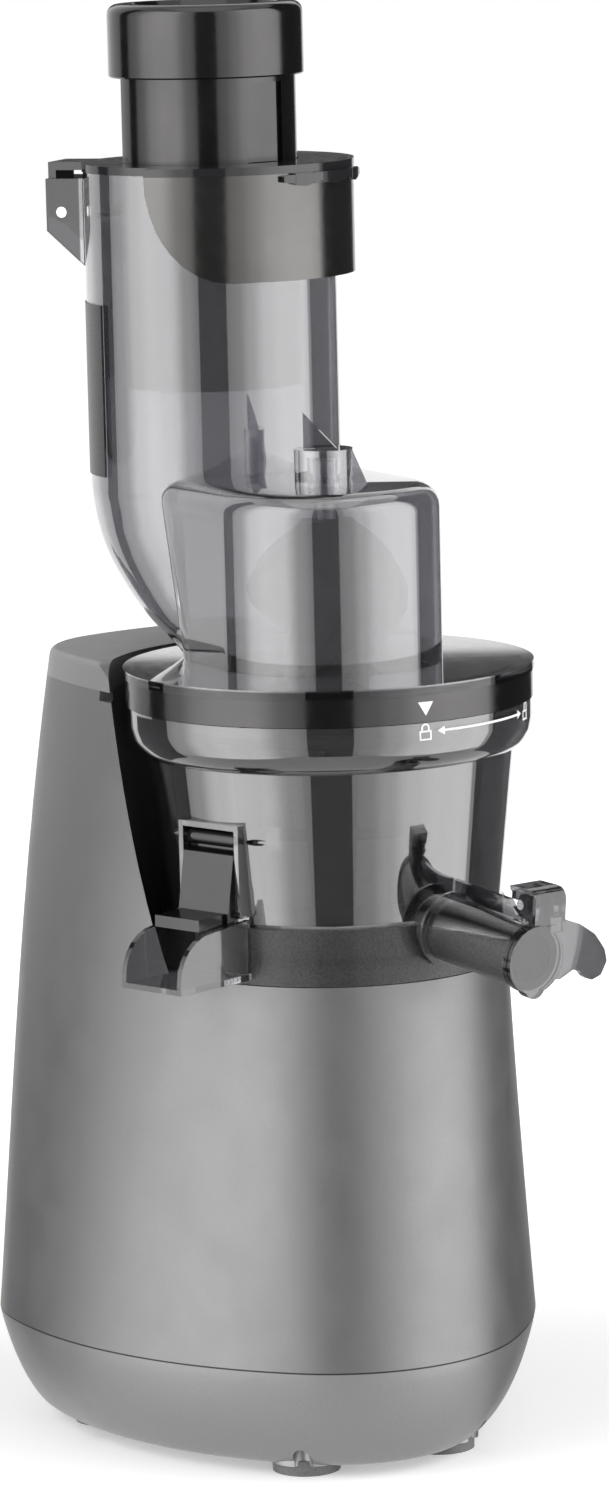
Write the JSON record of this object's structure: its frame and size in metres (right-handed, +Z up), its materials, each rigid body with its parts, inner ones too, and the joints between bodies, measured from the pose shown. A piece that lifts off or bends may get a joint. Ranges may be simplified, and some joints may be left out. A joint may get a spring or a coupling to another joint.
{
  "type": "cold press juicer",
  "caption": "Upright slow juicer: motor base with rear column, clear juice bowl with spout cap and pulp outlet, auger and strainer inside, offset feed chute and hand pusher.",
  "frame": {"origin": "middle of the footprint on the surface that the rubber feet stand on", "axes": "+Z up; -Y towards the bowl side, where the juice comes out; +Y towards the column and the mains switch; +X to the machine's right-hand side seen from the front"},
  "size_m": [0.1962, 0.2587, 0.531],
  "materials": {
    "auger_plastic": "satin dark grey",
    "black_plastic": "satin black",
    "board_green": "circuit board",
    "body_plastic": "satin metallic warm grey",
    "case_alloy": "die cast",
    "copper": "enamelled copper wire",
    "core_steel": "laminated",
    "foot_rubber": "matt black",
    "gear_nylon": "natural nylon",
    "gunmetal_gloss": "dark gunmetal gloss",
    "mark_white": "printed marks",
    "pan_plastic": "satin metallic warm grey",
    "plate_dark": "blank film",
    "silicone": "dark silicone",
    "smoky_clear": "smoky clear, glossy",
    "steel": "brushed",
    "zinc_steel": "bright"
  },
  "bodies": {
    "base": {"motor_housing": "body_plastic", "column_cap": "body_plastic", "base_pan": "pan_plastic", "rubber_feet": "foot_rubber", "housing_screws": "zinc_steel", "rocker_frame": "black_plastic", "cable_gland": "black_plastic", "control_board": "board_green", "board_bracket": "black_plastic", "gear_case": "case_alloy", "gear_case_cover": "case_alloy", "shaft_bearings": "steel", "idler_pin": "steel", "motor_can": "zinc_steel", "stator_core": "core_steel", "stator_windings": "copper"},
    "rocker": {"rocker_switch": "black_plastic"},
    "rotor": {"rotor_shaft": "steel", "rotor_pinion": "steel", "rotor_core": "core_steel", "cooling_fan": "black_plastic"},
    "idler": {"idler_gear": "gear_nylon"},
    "drive": {"drive_shaft": "steel", "output_gear": "steel"},
    "bowl": {"juice_bowl": "smoky_clear", "bowl_shaft_seal": "silicone", "pulp_tray": "smoky_clear", "pulp_gate_pin": "steel", "spout_cap_pin": "steel", "strainer_frame": "auger_plastic", "strainer_screen": "steel", "strainer_support": "auger_plastic", "brush_idler_pin": "steel"},
    "auger": {"auger": "auger_plastic", "auger_gear": "auger_plastic", "auger_socket": "steel", "auger_pin": "steel"},
    "brush_idler": {"brush_idler": "auger_plastic"},
    "brush": {"brush_holder": "auger_plastic", "brush_wipers": "silicone"},
    "spout_cap": {"spout_cap": "smoky_clear", "spout_cap_seal": "silicone"},
    "pulp_gate": {"pulp_gate": "gunmetal_gloss"},
    "lid": {"lid_chute": "smoky_clear", "lid_seal": "silicone", "lid_ring": "gunmetal_gloss", "bearing_boss": "smoky_clear", "hopper_cover": "smoky_clear", "hopper_hinge_pin": "steel", "chute_collar": "gunmetal_gloss", "cover_latch": "gunmetal_gloss", "information_plate": "plate_dark", "flap_pin": "steel"},
    "chute_flap": {"chute_flap": "smoky_clear"},
    "pusher": {"pusher_body": "gunmetal_gloss", "pusher_cap": "gunmetal_gloss"}
  },
  "joints": [
    {"name": "rocker_tilt", "type": "hinge", "parent": "base", "child": "rocker", "pos_m": [0, 0.12137, 0.078], "axis": [1, 0, 0], "range_deg": [0, 14]},
    {"name": "rotor_spin", "type": "hinge", "parent": "base", "child": "rotor", "pos_m": [0, -0.01458, 0.064], "axis": [0, 0, 1], "continuous": true},
    {"name": "idler_spin", "type": "hinge", "parent": "base", "child": "idler", "pos_m": [0, 0.02154, 0.146], "axis": [0, 0, 1], "continuous": true},
    {"name": "drive_spin", "type": "hinge", "parent": "base", "child": "drive", "pos_m": [0, -0.01458, 0.185], "axis": [0, 0, 1], "continuous": true},
    {"name": "bowl_lift", "type": "slide", "parent": "base", "child": "bowl", "axis": [0, 0, 1], "range_m": [0, 0.06]},
    {"name": "auger_spin", "type": "hinge", "parent": "bowl", "child": "auger", "pos_m": [0, -0.01458, 0.2095], "axis": [0, 0, 1], "continuous": true},
    {"name": "brush_idler_spin", "type": "hinge", "parent": "bowl", "child": "brush_idler", "pos_m": [0, 0.01854, 0.1953], "axis": [0, 0, 1], "continuous": true},
    {"name": "brush_spin", "type": "hinge", "parent": "bowl", "child": "brush", "pos_m": [0, -0.01458, 0.1953], "axis": [0, 0, 1], "continuous": true},
    {"name": "spout_cap_swing", "type": "hinge", "parent": "bowl", "child": "spout_cap", "pos_m": [0.02637, -0.11879, 0.21764], "axis": [-0.9816, -0.1908, 0], "range_deg": [0, 88]},
    {"name": "pulp_gate_swing", "type": "hinge", "parent": "bowl", "child": "pulp_gate", "pos_m": [-0.05749, -0.03642, 0.2375], "axis": [-0.3551, 0.9348, 0], "range_deg": [0, 18], "stiffness_Nm_per_rad": 0.02, "springref_deg": -17.19},
    {"name": "lid_turn", "type": "hinge", "parent": "bowl", "child": "lid", "pos_m": [0, -0.01458, 0.294], "axis": [0, 0, 1], "range_deg": [0, 48]},
    {"name": "flap_swing", "type": "hinge", "parent": "lid", "child": "chute_flap", "pos_m": [-0.02722, 0.10064, 0.453], "axis": [-0.7071, -0.7071, 0], "range_deg": [0, 5]},
    {"name": "pusher_slide", "type": "slide", "parent": "lid", "child": "pusher", "axis": [0, 0, 1], "range_m": [-0.031, 0.12]}
  ],
  "couplings": [
    {"joint": "idler_spin", "follows": "rotor_spin", "ratio": -0.2},
    {"joint": "drive_spin", "follows": "rotor_spin", "ratio": 0.04},
    {"joint": "auger_spin", "follows": "rotor_spin", "ratio": 0.04},
    {"joint": "brush_idler_spin", "follows": "rotor_spin", "ratio": -0.08},
    {"joint": "brush_spin", "follows": "rotor_spin", "ratio": -0.02}
  ]
}
